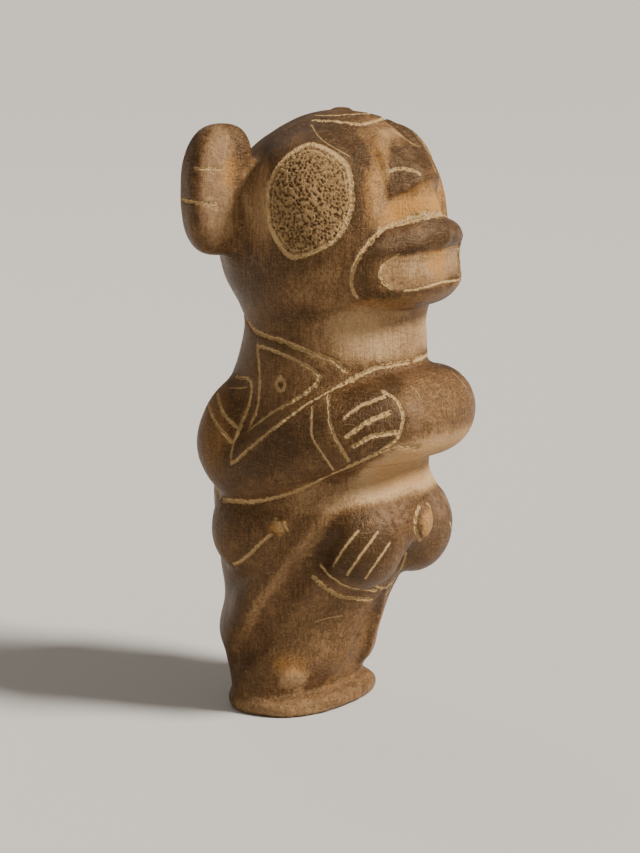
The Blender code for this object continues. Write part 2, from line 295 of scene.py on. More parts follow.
# Where the patina is made paler (over 0) or darker (under 0): middle, half sizes and tilt of an oval
# in pixels, and how much. Some ovals are worn or thick patina, and many are painted light and
# shade: faces that meet the light made paler, a painted highlight on the thigh's ridge, and painted
# shadows under the nose, the muzzle and the head and on the sides turned from the light.
TONES_AND_PAINTED_LIGHT = [
    ((382, 178), (9, 46), -6, 0.6),
    ((404, 132), (40, 13), -18, 0.6),
    ((414, 207), (34, 15), 18, 0.85),
    ((424, 266), (44, 17), 0, 0.65),
    # Painted light on the ear's front face, which faces the light.
    ((219, 190), (17, 56), 2, 1.25),
    ((243, 205), (9, 50), 4, 0.35),
    # Painted shade on the ear's outer rim, turned from the light.
    ((196, 185), (9, 62), 4, -0.2),
    # The neck's front: paler stone, with painted light on top.
    ((385, 332), (56, 30), -8, 1.1),
    ((318, 345), (30, 22), -20, 0.1),
    # The belly: its pale gold stone, with painted light where the arm shades it.
    ((408, 467), (62, 22), 24, 2.0),
    ((340, 494), (58, 16), 14, 1.0),
    ((432, 402), (36, 30), 0, 0.35),
    ((438, 520), (26, 24), 0, 0.3),
    ((426, 524), (6, 15), 0, 0.75),
    # The neck's side: paler stone, with painted light on top.
    ((350, 338), (44, 26), -8, 0.7),
    ((325, 288), (42, 22), 10, 0.55),
    ((294, 677), (14, 11), 0, 1.3),
    ((268, 712), (62, 8), 0, 0.55),
    ((222, 440), (16, 40), 0, 0.2),
    ((310, 640), (40, 60), -20, 0.12),
    ((352, 655), (9, 46), -22, -0.35),
    ((330, 625), (24, 46), -18, 0.15),
    # Painted highlight on the lower part of the thigh's ridge.
    ((262, 606), (50, 6), 56, 0.65),
    ((268, 600), (58, 70), 30, 0.25),
    # Painted highlight on the upper part of the thigh's ridge, then painted shade in the valley beside
    # it.
    ((316, 534), (36, 7), 52, 0.6),
    ((295, 598), (60, 9), 50, -0.15),
    ((285, 385), (36, 26), 20, 0.3),
    ((378, 640), (10, 42), -15, 0.55),
    ((232, 575), (40, 12), 50, -0.3),
    ((410, 238), (44, 14), 8, -1.35),
    # Painted shade on the mouth's end, turned from the light.
    ((366, 272), (11, 28), -12, -0.55),
    # Painted shadow under the muzzle.
    ((402, 298), (52, 8), 8, -0.5),
    # Painted shadow under the nose's lower edge.
    ((404, 184), (16, 9), 0, -1.1),
    ((403, 160), (14, 10), 0, -0.5),
    ((262, 150), (30, 44), -20, -0.25),
    # Between the ear and the eye: paler patina with a painted sheen.
    ((259, 200), (12, 56), 4, 1.1),
    ((262, 262), (34, 44), 30, -0.1),
    ((244, 280), (20, 44), -28, -0.35),
    ((338, 140), (44, 20), -30, -0.65),
    ((360, 190), (10, 48), -6, -0.35),
    ((304, 385), (50, 30), 20, 0.05),
    # Painted shade below the line over the arm, where the forearm turns from the light.
    ((283, 448), (56, 16), 36, -0.5),
    ((222, 440), (20, 50), 0, -0.25),
    ((372, 392), (32, 11), 20, -0.95),
    ((372, 425), (28, 24), 0, -0.85),
    # Painted shadow on the knob's left side, beside the valley.
    ((352, 548), (36, 28), 30, -1.0),
    # Painted shade on the leg's left side, turned from the light.
    ((232, 640), (18, 60), 0, -0.35),
    # Painted shadow under the head, where the neck begins.
    ((320, 316), (50, 8), 0, -0.25),
]
# Fields of colour that end at an edge of the carving: their outline in pixels, then how much they
# add to the tone, to the ochre and to the rosy grey.
FIELDS = {
    "nose": ([(390, 148), (403, 146), (414, 153), (422, 168), (423, 177), (413, 185), (403, 191),
              (392, 198), (389, 199)], -0.55, 0.0, 0.35),
    "band": ([(357, 132), (376, 127), (392, 133), (389, 150), (390, 200), (382, 207), (374, 216),
              (372, 200), (374, 180), (371, 160), (364, 145)], 0.35, 0.1, 0.0),
    "philtrum": ([(390, 201), (403, 193), (414, 187), (424, 180), (434, 190), (443, 212), (425, 213),
                  (405, 219), (385, 228), (376, 226)], 0.35, 0.45, 0.0),
    "mouth": ([(394, 258), (412, 253), (437, 248), (458, 244), (459, 276), (437, 281), (410, 286),
               (397, 293), (385, 284), (381, 272), (385, 263)], 0.45, 0.0, 0.0),
    # The ear's front face, made paler and rosy grey: painted light where it meets the light.
    "ear front": ([(215, 122), (228, 128), (234, 146), (228, 173), (224, 202), (219, 246), (198, 246),
                   (199, 206), (201, 168), (207, 137)], 0.25, 0.0, 0.4),
    "rim": ([(226, 680), (244, 693), (273, 701), (300, 700), (315, 694), (333, 688), (349, 684),
             (372, 672), (376, 700), (320, 728), (226, 728)], 0.45, 0.0, 0.1),
    "strip": ([(321, 689), (333, 668), (344, 639), (355, 614), (373, 597), (364, 618), (354, 640),
               (348, 662), (340, 686)], 0.30, 0.1, 0.0),
}
# Ochre stains as ovals. Then rosy grey ovals: painted light and highlights on the ear's front, the
# arm, the knob and the upper lip, and rosy worn stone elsewhere.
OCHRES = [
    ((416, 206), (30, 11), 18, 1.0),
    ((447, 262), (16, 15), 0, 0.8),
    ((230, 172), (7, 14), 0, 0.7),
    ((412, 464), (44, 16), 24, 0.5),
    ((281, 525), (8, 6), 0, 1.0),
    ((376, 180), (8, 40), -6, 0.35),
    ((405, 300), (50, 5), 8, 0.35),
    ((290, 664), (16, 10), 0, 0.4),
    ((427, 524), (6, 14), 0, 0.5),
    ((212, 420), (16, 50), 0, 0.25),
]
ROSE_WEARS_AND_HIGHLIGHTS = [
    # Painted light on the ear's front face.
    ((214, 192), (16, 54), 2, 0.8),
    # Painted highlight on the arm beside the hand.
    ((416, 416), (11, 20), 0, 0.8),
    # Painted highlight on the knob.
    ((391, 514), (20, 18), 20, 0.9),
    # Painted highlight along the upper lip.
    ((405, 236), (34, 11), 8, 0.6),
    ((412, 182), (12, 7), 0, 0.8),
    ((352, 655), (8, 40), -22, 0.4),
    ((345, 660), (60, 30), 0, 0.1),
]
# Each layer of noise: its amount and scale, and a seed. Ragged edges of the cuts come first, then
# low waves of the surface.
RAGGED = [(1.0, 1.7, 0.0), (0.9, 3.9, 7.0)]
RAGGED_WIDTH, RAGGED_DEPTH = 0.75, 0.5
WAVES = [(0.10, 0.16, 3.0), (0.05, 0.42, 5.0)]
# How far noise moves the edges of the tones, stains and fields: pixels, scale and seed.
DRIFT, RIPPLE = (7, 0.12, 11.0), (3, 0.6, 21.0)
FIELD_RIPPLE = 0.35
# Up to how far from a cut its size counts, and its raggedness.
CUT_REACH, RAGGED_REACH = 2.0, 1.5
# Across which shares of a cut's half width its wall rises.
CUT_WALL = (0.2, 1.5)
# The pecking: how deep all of an eye sinks and how much deeper its pits go, then the pits' scale,
# how far and how closely noise shifts them, and how steeply they end.
PECKED_DEPTH, PIT_DEPTH = 0.08, 0.42
PECK_SCALE, PECK_SHIFT, PECK_SHIFT_SCALE, PECK_STEEPNESS = 1.75, 0.5, 1.6, 1.6
# Without a seed, Blender's noise vectors differ from run to run.
PECK_SEED = 7
# How far out from the stone its hollows are felt.
HOLLOW_REACH = 2.5

# How the spaces of the textures are stretched, and turned about Y in degrees.
SPACES = {
    "upright": ((1.0, 1.0, 0.09), 0),
    "slanted": ((0.12, 1.0, 1.0), 38),
    "level": ((0.5, 0.5, 2.2), 0),
    "across": ((0.10, 0.10, 1.0), 9),
}
# Each texture: its space, scale per millimetre, detail, roughness and distortion.
TEXTURES = {
    "blotches": ("even", 0.085, 5.0, 0.6, 0.6),
    "clouds": ("even", 0.42, 4.0, 0.62, 0.4),
    "grain": ("upright", 2.3, 3.0, 0.6, 0.0),
    "sweeps": ("slanted", 1.7, 3.0, 0.6, 0.0),
    "fine": ("even", 1.9, 3.0, 0.65, 0.0),
    "grit": ("even", 4.6, 2.0, 0.6, 0.0),
    "combing": ("level", 1.1, 2.0, 0.5, 0.0),
    "hairs": ("across", 2.4, 2.0, 0.5, 0.3),
}
# How far the patina is worn where nothing else tells, how much the tone adds, with its painted light
# and shade, how much each texture adds or takes, and how much the hollows take as painted shade.
WORN_START, TONE_AND_LIGHT_WEIGHT = 0.29, 0.62
WEAR = {"blotches": 0.7, "clouds": 0.5, "grain": 0.9, "sweeps": 0.6, "fine": 0.95, "grit": 1.0}
HOLLOW_SPAN, HOLLOW_SHADE = (0.45, 0.95), 0.10
# Each step of the patina: its colour, and the wear across which it takes over.
PATINA = [
    (BROWN, 0.0, 0.42),
    (TAN, 0.40, 0.78),
    (WORN_PALE, 0.78, 1.15),
    (BARE_STONE, 1.1, 1.7),
]
# Scratches follow a texture where it is near a level, up to a gap, and keep to where another
# texture rises, or sinks, from one value to the next.
SCRATCHES = {
    "along": ("grain", 0.5, 0.025, "clouds", 0.44, 0.62),
    "around": ("hairs", 0.5, 0.018, "clouds", 0.58, 0.40),
    "dark": ("sweeps", 0.52, 0.020, "blotches", 0.45, 0.62),
}
PALE_SCRATCH, DARK_SCRATCH = 0.48, 0.40
# Pores and pale grains: their scale, the radii that they fade between, then as for scratches.
SPECKS = {
    "pores": (1.5, 0.07, 0.16, "fine", 0.5, 0.62),
    "grains": (2.1, 0.07, 0.17, "clouds", 0.45, 0.6),
}
SPECK_SHARE = 0.75
# How high each texture stands in the bump, and how deep the pores and dark scratches lie.
BUMPS = {"grain": 0.35, "sweeps": 0.25, "grit": 0.22, "combing": 0.25}
FINE_BUMP, PORE_DENT, SCRATCH_DENT, ROUGH_BUMP = 0.5, 0.5, 0.15, 1.6
BUMP_STRENGTH, BUMP_DISTANCE = 0.9, 0.00042
# Spans of a value: its two ends, then what it turns into there, if not 0 and 1.
ROSE_SPAN, ROSE_SHARE = (0.35, 0.62), 0.7
OCHRE_SPAN, OCHRE_SPECKLE = (0.6, 0.75, 0.0, 0.22), (0.32, 0.6, 0.25, 1.0)
PIT_DARK_SPAN, EYE_BROWN_SPAN = (-0.2, 0.85), (0.45, 0.7, 0.0, 0.3)
CUT_SPAN, POWDER_SPAN = (-0.01, 0.17, 1.0, 0.0), (0.0, 0.45, 0.22, 0.0)
POWDER_GRIT, PALE_CUT_SPAN, SHINE_SPAN = (0.4, 0.6), (0.38, 0.62), (0.1, 0.95)
# How much the fine textures stir up the pecking, first the grit, and the edges of the cuts.
PECK_GRIT, PECK_FINE, CUT_FINE = 0.9, 1.3, 0.44
# The shine: roughness of whole and of worn patina, how much it varies, and that of the cuts.
ROUGHNESS, ROUGHNESS_SWING, CUT_ROUGHNESS = (0.38, 0.62), 0.22, 0.82
SPECULAR_LEVEL = 0.28
SPECULAR_TINT = (1.0, 0.78, 0.52, 1)

# Each lamp: azimuth from the front and elevation in degrees, its kind and power, and its size in
# metres or, for the sun, its angle in degrees.
LAMPS = {
    "Key": (14, 42, "SUN", 6.5, 14),
    "Fill": (-120, 25, "AREA", 0.8, 0.6),
    "Rim": (150, 50, "AREA", 1.0, 0.5),
}
# How far off the lamps stand and how high up they aim, and the floor's half width, in metres.
LAMP_REACH, LAMP_AIM = 0.9, 0.06
FLOOR_HALF = 12
FLOOR_ROUGHNESS = 0.8
WORLD_STRENGTH = 0.27


def place(angle, reach, height):
    """The spot at an angle from the front, a reach from the axis and a height."""
    turn = math.radians(angle)
    return np.array([math.sin(turn) * reach, -math.cos(turn) * reach, height])


def curve_through(stations, steps):
    """Rows close together on a smooth curve through the stations."""
    rows = np.array(stations, float)
    padded = np.vstack([2 * rows[0] - rows[1], rows, 2 * rows[-1] - rows[-2]])
    share = np.linspace(0, 1, steps, endpoint=False)[:, None]
    pieces = []
    for before, start, end, after in zip(padded, padded[1:], padded[2:], padded[3:]):
        pieces.append(
            start
            + (end - before) * share / 2
            + (2 * before - 5 * start + 4 * end - after) * share**2 / 2
            + (3 * start - before - 3 * end + after) * share**3 / 2
        )
    return np.vstack([*pieces, rows[-1:]])


def fade(value, start, end):
    """Rises smoothly from 0 at the start to 1 at the end."""
    share = np.clip((value - start) / (end - start), 0, 1)
    return share * share * (3 - 2 * share)


def join(one, other, blend):
    """Two forms as one, with the seam between them filled."""
    overlap = np.clip(1 - np.abs(one - other) / blend, 0, 1)
    return np.minimum(one, other) - overlap**2 * blend / 4


def cut(form, tool, blend):
    """A form without what lies inside a tool, its edge rounded."""
    return -join(-form, tool, blend)


def mass(points, middle, halves, plan_power, rise_power=None, lean=0.0):
    """How far each point lies outside a boxy oval, near enough."""
    offset = points - place(*middle)
    outward, sideways = place(middle[0], 1, 0), place(middle[0] + 90, 1, 0)
    local = np.stack([offset @ outward, offset @ sideways, offset[:, 2]], axis=1)
    local[:, 0] += lean * (np.maximum(local[:, 2], 0) / halves[2]) ** 2
    scaled = np.abs(local) / np.array(halves)
    rise_power = rise_power or plan_power
    plan = np.maximum(np.sum(scaled[:, :2] ** plan_power, axis=1), 1e-9) ** (1 / plan_power)
    return ((plan**rise_power + scaled[:, 2] ** rise_power) ** (1 / rise_power) - 1) * min(halves)


def limb(points, stations, margin=4.0):
    """How far each point lies outside a limb. Beyond the margin it is at least as far as is said."""
    rows = np.array([[*place(*station[:3]), station[3]] for station in stations])
    rows = curve_through(rows, steps=8)
    low = (rows[:, :3] - rows[:, 3:]).min(axis=0) - margin
    high = (rows[:, :3] + rows[:, 3:]).max(axis=0) + margin
    beyond = np.linalg.norm(np.maximum(np.maximum(low - points, points - high), 0), axis=1)
    distance = beyond + margin
    near = np.flatnonzero(beyond == 0)
    nearest = np.full(len(near), 1e9)
    for start, end in zip(rows, rows[1:]):
        run = end[:3] - start[:3]
        offset = points[near] - start[:3]
        share = np.clip(offset @ run / (run @ run), 0, 1)
        away = np.linalg.norm(offset - share[:, None] * run, axis=1)
        nearest = np.minimum(nearest, away - start[3] - share * (end[3] - start[3]))
    distance[near] = nearest
    return distance


def trunk(points):
    """How far each point lies outside the trunk, near enough."""
    rows = curve_through(TRUNK, steps=10)
    height = np.clip(points[:, 2], rows[0, 0], rows[-1, 0])
    sizes = [np.interp(height, rows[:, 0], rows[:, column]) for column in range(1, 6)]
    wide, front, back, middle, power = sizes
    deep = np.where(points[:, 1] < middle, front, back)
    scaled = np.maximum(points[:, 0] / wide, 1e-6) ** power
    scaled = scaled + np.maximum(np.abs(points[:, 1] - middle) / deep, 1e-6) ** power
    side = (scaled ** (1 / power) - 1) * np.minimum(wide, deep)
    return cut(side, TRUNK_TOP - points[:, 2], blend=4.0)


def head(points):
    form = join(mass(points, *SKULL), mass(points, *JAW), blend=3.0)
    form = join(form, mass(points, *NAPE), blend=4.0)
    face = cut(mass(points, *FACE), points[:, 2] - CHIN_HEIGHT, blend=3.0)
    form = join(form, face, blend=2.0)
    form = join(form, mass(points, *EYE), blend=1.2)
    form = join(form, mass(points, *EAR, EAR_LEAN), blend=2.0)
    lips = join(limb(points, UPPER_LIP), limb(points, LOWER_LIP), blend=1.0)
    return join(form, lips, blend=0.6)


def leg(points):
    form = join(limb(points, HIP), limb(points, THIGH), blend=0.8)
    return join(form, mass(points, *KNOB), blend=1.5)


def mouth_dent(angle, height):
    beyond = np.maximum(angle - MOUTH_STRAIGHT, 0) / MOUTH_END
    across = np.hypot(beyond, (height - MOUTH_HEIGHT) / MOUTH_HALF)
    return MOUTH_DEPTH * (1 - fade(across, *MOUTH_WALL))


def band_dent(angle, height):
    """The face is a flatter band between the mounds of the eyes, and widens towards the crown."""
    widening = np.clip((height - BAND_WIDENS_FROM) / BAND_WIDENS_OVER, 0, 1) ** BAND_CURVE
    edge = BAND_ANGLE + BAND_WIDENS * widening
    band = (1 - fade(angle, edge - 1.2, edge + 1.0)) * fade(height, *BAND_FOOT)
    slope = BAND_LEAST + (1 - BAND_LEAST) * fade(angle, *BAND_SLOPE)
    return BAND_DEPTH * band * (1 - fade(height, *BAND_TOP)) * slope


def nose_rise(angle, height, base):
    """Two wings that meet at the middle of the band make the nose."""
    top = NOSE_TOP + NOSE_ARCH * np.sqrt(angle / NOSE_REACH)
    wing = fade(height, base - 0.6, base + 1) * (1 - fade(height, top - 1.6, top + 0.3))
    wing = NOSE_RISE * wing * (1 - NOSE_THINNING * fade(angle, *NOSE_THINS))
    return wing * (1 - fade(angle, *NOSE_ENDS))


def lip_dent(angle, height, base):
    below = 1 - fade(height, base - 2, base)
    return LIP_HOLLOW * fade(height, *LIP_FOOT) * below * (1 - fade(angle, *LIP_ENDS))


def cleft_dent(across, height):
    """A channel parts the legs, and closes below the knees."""
    half = CLEFT_HALF * (1 - CLEFT_NARROWING * fade(height, *CLEFT_NARROWS))
    cleft = CLEFT_DEPTH * np.clip(1 - (across / half) ** 2, 0, 1) ** CLEFT_CURVE
    return cleft * half / CLEFT_HALF * fade(height, *CLEFT_FOOT) * (1 - fade(height, *CLEFT_TOP))


def dents(points):
    """How far the hollows of the face and the cleft between the legs sink in."""
    angle = np.degrees(np.arctan2(points[:, 0], -points[:, 1]))
    height = points[:, 2]
    nose_base = NOSE_BASE - NOSE_FALL * angle
    sunk = mouth_dent(angle, height) + band_dent(angle, height) - nose_rise(angle, height, nose_base)
    sunk = sunk + lip_dent(angle, height, nose_base) + cleft_dent(points[:, 0], height)
    return sunk * (1 - fade(angle, *DENTS_END))


def zemi(points):
    """How far each point lies outside the carving. Both sides of the figure are alike."""
    half = np.array(points)
    half[:, 0] = np.abs(half[:, 0])
    form = join(trunk(half), head(half), blend=3.5)
    form = join(form, limb(half, ARM), blend=1.5)
    form = join(form, leg(half), blend=1.5)
    form = cut(form, limb(half, VALLEY), blend=1.5)
    form = form + dents(half)
    form = join(form, mass(half, *LAP), blend=3.0)
    form = join(form, mass(half, *BOSS), blend=0.8)
    form = join(form, mass(half, *FOOT), blend=0.6)
    return cut(form, points[:, 2], blend=0.3)


# The camera's own axes, and its place in shares about the axis of the head.
RIGHT = np.array([math.cos(AZIMUTH), math.sin(AZIMUTH), 0.0])
BACK = np.array([
    math.sin(AZIMUTH) * math.cos(ELEVATION),
    -math.cos(AZIMUTH) * math.cos(ELEVATION),
    math.sin(ELEVATION),
])
UP = np.cross(BACK, RIGHT)
LENS = RIGHT * AIM_SIDEWAYS + np.array([0, 0, AIM_HEIGHT]) + BACK * CAMERA_DISTANCE


def pixels_of(points):
    """Where points of the figure's right side stand in the photograph. The left is folded onto it."""
    offset = np.array(points)
    offset[:, 0] = -np.abs(offset[:, 0])
    offset = offset - LENS
    depth = -offset @ BACK
    across = FRAME_WIDTH / 2 + FOCAL_LENGTH * (offset @ RIGHT) / depth
    return np.stack([across, FRAME_HEIGHT / 2 - FOCAL_LENGTH * (offset @ UP) / depth], axis=1)


def on_stone(tree, pixel):
    """Where a pixel's line of sight meets the stone, or comes nearest to it."""
    across, down = pixel[0] - FRAME_WIDTH / 2, pixel[1] - FRAME_HEIGHT / 2
    sight = Vector(-BACK + RIGHT * across / FOCAL_LENGTH - UP * down / FOCAL_LENGTH).normalized()
    hit = tree.ray_cast(Vector(LENS), sight)[0]
    if hit is None:
        hit = tree.find_nearest(Vector(LENS) + sight * CAMERA_DISTANCE)[0]
    return np.array(hit)


def from_outside(tree, angle, height):
    """Where the stone lies at an angle and a height, seen from all round."""
    start = Vector(place(angle, 60, height))
    hit = tree.ray_cast(start, Vector(place(angle, -1, 0)))[0]
    return np.array(hit or tree.find_nearest(Vector(place(angle, 24, height)))[0])


def cut_paths(tree):
    """Every cut as close-set points on the stone: place, half width and depth, on both sides."""
    rows = []

    def add(spots, size):
        for start, end in zip(spots, spots[1:]):
            count = max(1, int(np.linalg.norm(end - start) / CUT_SPACING))
            for share in np.linspace(0, 1, count, endpoint=False):
                rows.append((*(start + (end - start) * share), *size))

    def add_seen(pixels, size):
        add([on_stone(tree, pixel) for pixel in curve_through(pixels, 6)], size)

    for size, pixels in LINES.values():
        add_seen(pixels, size)
    ring = np.array(EYE_RING + EYE_RING[:1], float)
    add_seen(ring, RING_CUT)
    add_seen(EYE_MIDDLE + (ring - EYE_MIDDLE) * INNER_RING, INNER_RING_CUT)
    for size, spots in BACK_LINES.values():
        add([from_outside(tree, *spot) * [-1, 1, 1] for spot in curve_through(spots, 6)], size)
    mirrored = [row * np.array([-1, 1, 1, 1, 1]) for row in map(np.array, rows)]
    for size, pixels in LONE_LINES.values():
        add_seen(pixels, size)
    return np.vstack([rows, mirrored])


def nearest_of(points, spots, reach):
    """For each point, the nearest spot's number and how far off it is, up to a reach."""
    tree = kdtree.KDTree(len(spots))
    for number, spot in enumerate(spots):
        tree.insert(spot[:3], number)
    tree.balance()
    numbers = np.zeros(len(points), int)
    away = np.full(len(points), reach)
    for number, point in enumerate(points):
        _, spot, gap = tree.find(point)
        if gap < reach:
            numbers[number], away[number] = spot, gap
    return numbers, away


def arrays_of(data):
    """A mesh's points, and the numbers of the two ends of each edge."""
    points = np.empty(len(data.vertices) * 3)
    data.vertices.foreach_get("co", points)
    ends = np.empty(len(data.edges) * 2, int)
    data.edges.foreach_get("vertices", ends)
    return points.reshape(-1, 3), ends.reshape(-1, 2)


def normals_of(data):
    normals = np.empty(len(data.vertices) * 3)
    data.vertex_normals.foreach_get("vector", normals)
    return normals.reshape(-1, 3)


def put_points(data, points):
    data.vertices.foreach_set("co", points.ravel())
    data.update()


def settle(data, rounds, evening):
    """Draws a skin onto the carving. Evening slides its points towards their neighbours."""
    points, ends = arrays_of(data)
    count = np.maximum(np.bincount(ends.ravel(), minlength=len(points)), 1)[:, None]
    for _ in range(rounds):
        normals = normals_of(data)
        points = points - normals * np.clip(zemi(points), -1, 1)[:, None] * 0.9
        if evening:
            total = np.zeros_like(points)
            for axis in range(3):
                total[:, axis] += np.bincount(ends[:, 0], points[ends[:, 1], axis], len(points))
                total[:, axis] += np.bincount(ends[:, 1], points[ends[:, 0], axis], len(points))
            drift = total / count - points
            drift -= normals * np.sum(drift * normals, axis=1, keepdims=True)
            points = points + evening * drift
        put_points(data, points)


def refine(data, wanted):
    """Halves the edges whose two ends are both wanted."""
    mesh = bmesh.new()
    mesh.from_mesh(data)
    mesh.verts.ensure_lookup_table()
    edges = [edge for edge in mesh.edges if wanted[edge.verts[0].index] and wanted[edge.verts[1].index]]
    bmesh.ops.subdivide_edges(mesh, edges=edges, cuts=1, use_grid_fill=True)
    bmesh.ops.triangulate(mesh, faces=mesh.faces[:])
    mesh.to_mesh(data)
    mesh.free()


def start_skin(node):
    """A close even skin of the solid, in shares about the axis of its head."""
    source = bpy.data.objects.new("Skin start", node.data.copy())
    bpy.context.scene.collection.objects.link(source)
    to_shares = Matrix.Diagonal((1 / SHARE,) * 3).to_4x4()
    source.data.transform(Matrix.Translation((0, -HEAD_AXIS, 0)) @ to_shares)
    source.modifiers.new("Skin", "REMESH").voxel_size = SKIN_STEP
    data = bpy.data.meshes.new_from_object(source.evaluated_get(bpy.context.evaluated_depsgraph_get()))
    data.materials.clear()
    bpy.data.objects.remove(source)
    return data


def tree_of(data):
    mesh = bmesh.new()
    mesh.from_mesh(data)
    tree = BVHTree.FromBMesh(mesh)
    mesh.free()
    return tree


def noise_at(points, scale, seed):
    shift = Vector((seed, seed, seed))
    return np.array([noise.noise(Vector(point) * scale + shift) for point in points])


def layered(points, layers):
    """The sum of layers of noise at each point."""
    return sum(amount * noise_at(points, scale, seed) for amount, scale, seed in layers)


def wander(points, amount, scale, seed):
    """How far noise moves each point in the photograph, across and down."""
    return amount * np.stack([noise_at(points, scale, seed + more) for more in (0, 6)], axis=1)


def inside_oval(pixels, middle, halves, tilt=0.0, soft=0.35):
    """1 in the middle of a tilted oval of the photograph, fading to 0 across its edge."""
    offset = pixels - np.array(middle)
    turn = math.radians(tilt)
    along = offset[:, 0] * math.cos(turn) - offset[:, 1] * math.sin(turn)
    across = offset[:, 0] * math.sin(turn) + offset[:, 1] * math.cos(turn)
    return 1 - fade(np.hypot(along / halves[0], across / halves[1]), 1 - soft, 1 + soft)


def inside_outline(pixels, corners, soft=1.5):
    """1 within an outline of the photograph, fading to 0 outside it."""
    inside = np.zeros(len(pixels), bool)
    away = np.full(len(pixels), 1e9)
    across, down = pixels[:, 0], pixels[:, 1]
    for start, end in zip(corners, corners[1:] + corners[:1]):
        run = np.subtract(end, start)
        offset = pixels - start
        share = np.clip(offset @ run / (run @ run), 0, 1)
        away = np.minimum(away, np.linalg.norm(offset - share[:, None] * run, axis=1))
        if run[1]:
            spans = (down >= min(start[1], end[1])) & (down < max(start[1], end[1]))
            inside ^= spans & (across < start[0] + (down - start[1]) * run[0] / run[1])
    return fade(np.where(inside, away, -away), -soft, soft)


def inside_eye(pixels):
    """How far within the eye's ring each pixel lies: over 0 inside it."""
    ring = curve_through(np.array(EYE_RING + EYE_RING[:1], float), 4) - EYE_MIDDLE
    turns = np.arctan2(ring[:, 1], ring[:, 0])
    order = np.argsort(turns)
    offset = pixels - EYE_MIDDLE
    turn = np.arctan2(offset[:, 1], offset[:, 0])
    reach = np.interp(turn, turns[order], np.hypot(*ring[order].T), period=2 * math.pi)
    return reach - np.hypot(offset[:, 0], offset[:, 1])


def ovals(pixels, patches):
    """The sum of a list of ovals' amounts at each pixel."""
    total = np.zeros(len(pixels))
    for middle, halves, tilt, amount in patches:
        total += amount * inside_oval(pixels, middle, halves, tilt)
    return total


def sinkings(points, pixels, seen, tree):
    """How far the pits sink in and the low swellings stand out, on both sides."""
    sunk = np.zeros(len(points))
    folded = np.array(points)
    folded[:, 0] = -np.abs(folded[:, 0])
    for across, down, radius, deep in PITS:
        spot = on_stone(tree, (across, down))
        away = np.linalg.norm(folded - spot, axis=1)
        sunk += deep * (1 - fade(away, 0.3 * radius, 1.3 * radius))
    for middle, halves, rise in SWELLINGS:
        sunk -= rise * seen * inside_oval(pixels, middle, halves)
    return sunk


def in_zone(points, zone):
    back, low = zone
    return (points[:, 1] < back) & (points[:, 2] > low)


def refine_carving(data, cuts):
    """Makes the mesh finer along the cuts and in the eyes."""
    for reach in (NEAR_CUT, AT_CUT):
        points, _ = arrays_of(data)
        _, away = nearest_of(points, cuts, CUT_REACH)
        eye = (inside_eye(pixels_of(points)) > -BEYOND_RING) & in_zone(points, MESHED_ZONE)
        refine(data, (away < reach) | eye)
    settle(data, rounds=2, evening=0.1)


def seen_share(points, normals):
    """1 where the stone faces the camera, or would on the other side, fading to 0 where it turns away."""
    facing = np.where(points[:, 0] > 0, -1, 1)
    toward = normals[:, 0] * facing * BACK[0] + normals[:, 1] * BACK[1] + normals[:, 2] * BACK[2]
    return fade(toward, 0.0, 0.25)


def grooves(points, cuts):
    """How far each point is from the ragged edge of its nearest cut, and how deep the cut is there."""
    numbers, away = nearest_of(points, cuts, CUT_REACH)
    half, depth = cuts[numbers, 3], cuts[numbers, 4]
    near = np.flatnonzero(away < RAGGED_REACH)
    ragged = np.zeros(len(points))
    ragged[near] = layered(points[near], RAGGED)
    half = half * (1 + RAGGED_WIDTH * ragged)
    wall = fade(away, CUT_WALL[0] * half, CUT_WALL[1] * half)
    return away - half, depth * (1 + RAGGED_DEPTH * ragged) * (1 - wall)


def peck_marks(points):
    """Close-set uneven pits, from 0 between them to 1 at their middles."""
    noise.seed_set(PECK_SEED)
    marks = []
    for point in points:
        spot = Vector(point)
        spot = spot * PECK_SCALE + PECK_SHIFT * noise.noise_vector(spot * PECK_SHIFT_SCALE)
        gaps, _ = noise.voronoi(spot, distance_metric="DISTANCE", exponent=2.5)
        marks.append(1 - min(1.0, gaps[0] * PECK_STEEPNESS))
    return np.array(marks)


def pecking(points, pixels, seen):
    """How far each point belongs to a pecked eye, and how deep in a pit it lies."""
    within = np.where(in_zone(points, PECKED_ZONE), inside_eye(pixels), -50) * seen
    near = np.flatnonzero(within > -2)
    pecks = np.zeros(len(points))
    pecks[near] = peck_marks(points[near])
    return fade(within, 0.0, 2.0), pecks


def stains(points, pixels, seen):
    """How pale or dark, how ochre and how rosy the stone is at each point. The pale and dark hold
    painted light and shade too, and the rosy grey holds painted highlights.
    """
    ripple = wander(points, *RIPPLE)
    moved = pixels + wander(points, *DRIFT) + ripple
    fields = np.zeros((len(points), 3))
    for corners, *amounts in FIELDS.values():
        fields += inside_outline(pixels + ripple * FIELD_RIPPLE, corners)[:, None] * amounts
    patches = {"tone_and_painted_light": TONES_AND_PAINTED_LIGHT, "ochre": OCHRES, "rose_wear_and_highlight": ROSE_WEARS_AND_HIGHLIGHTS}
    return {
        name: seen * ovals(moved, patches[name]) + seen * fields[:, column]
        for column, name in enumerate(patches)
    }


